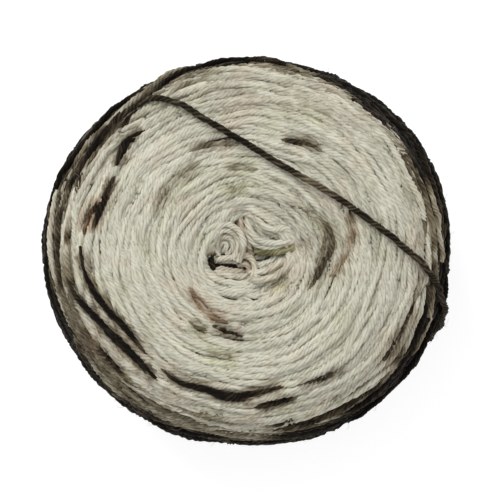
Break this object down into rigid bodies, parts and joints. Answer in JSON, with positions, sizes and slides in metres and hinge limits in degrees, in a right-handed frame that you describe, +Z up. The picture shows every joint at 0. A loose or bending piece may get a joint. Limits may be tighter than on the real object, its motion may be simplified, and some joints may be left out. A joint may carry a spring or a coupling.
{
  "type": "sock yarn cake",
  "caption": "Low round cake of wound sock yarn, cream with dark dyed stretches, flat underneath, with a collapsed centre and one loose end across the top.",
  "frame": {"origin": "centre of the footprint of the wound cake, on the surface that its flat base rests on", "axes": "+Z up out of the top face, towards the picture's camera; +X to the right of the picture, along the cake's longest side; +Y to the top of the picture"},
  "size_m": [0.115, 0.1096, 0.0643],
  "materials": {
    "wool_cream": "matt",
    "wool_dark": "matt"
  },
  "bodies": {
    "root": {"yarn_cake": "wool_cream", "loose_end": "wool_dark"}
  },
  "joints": []
}
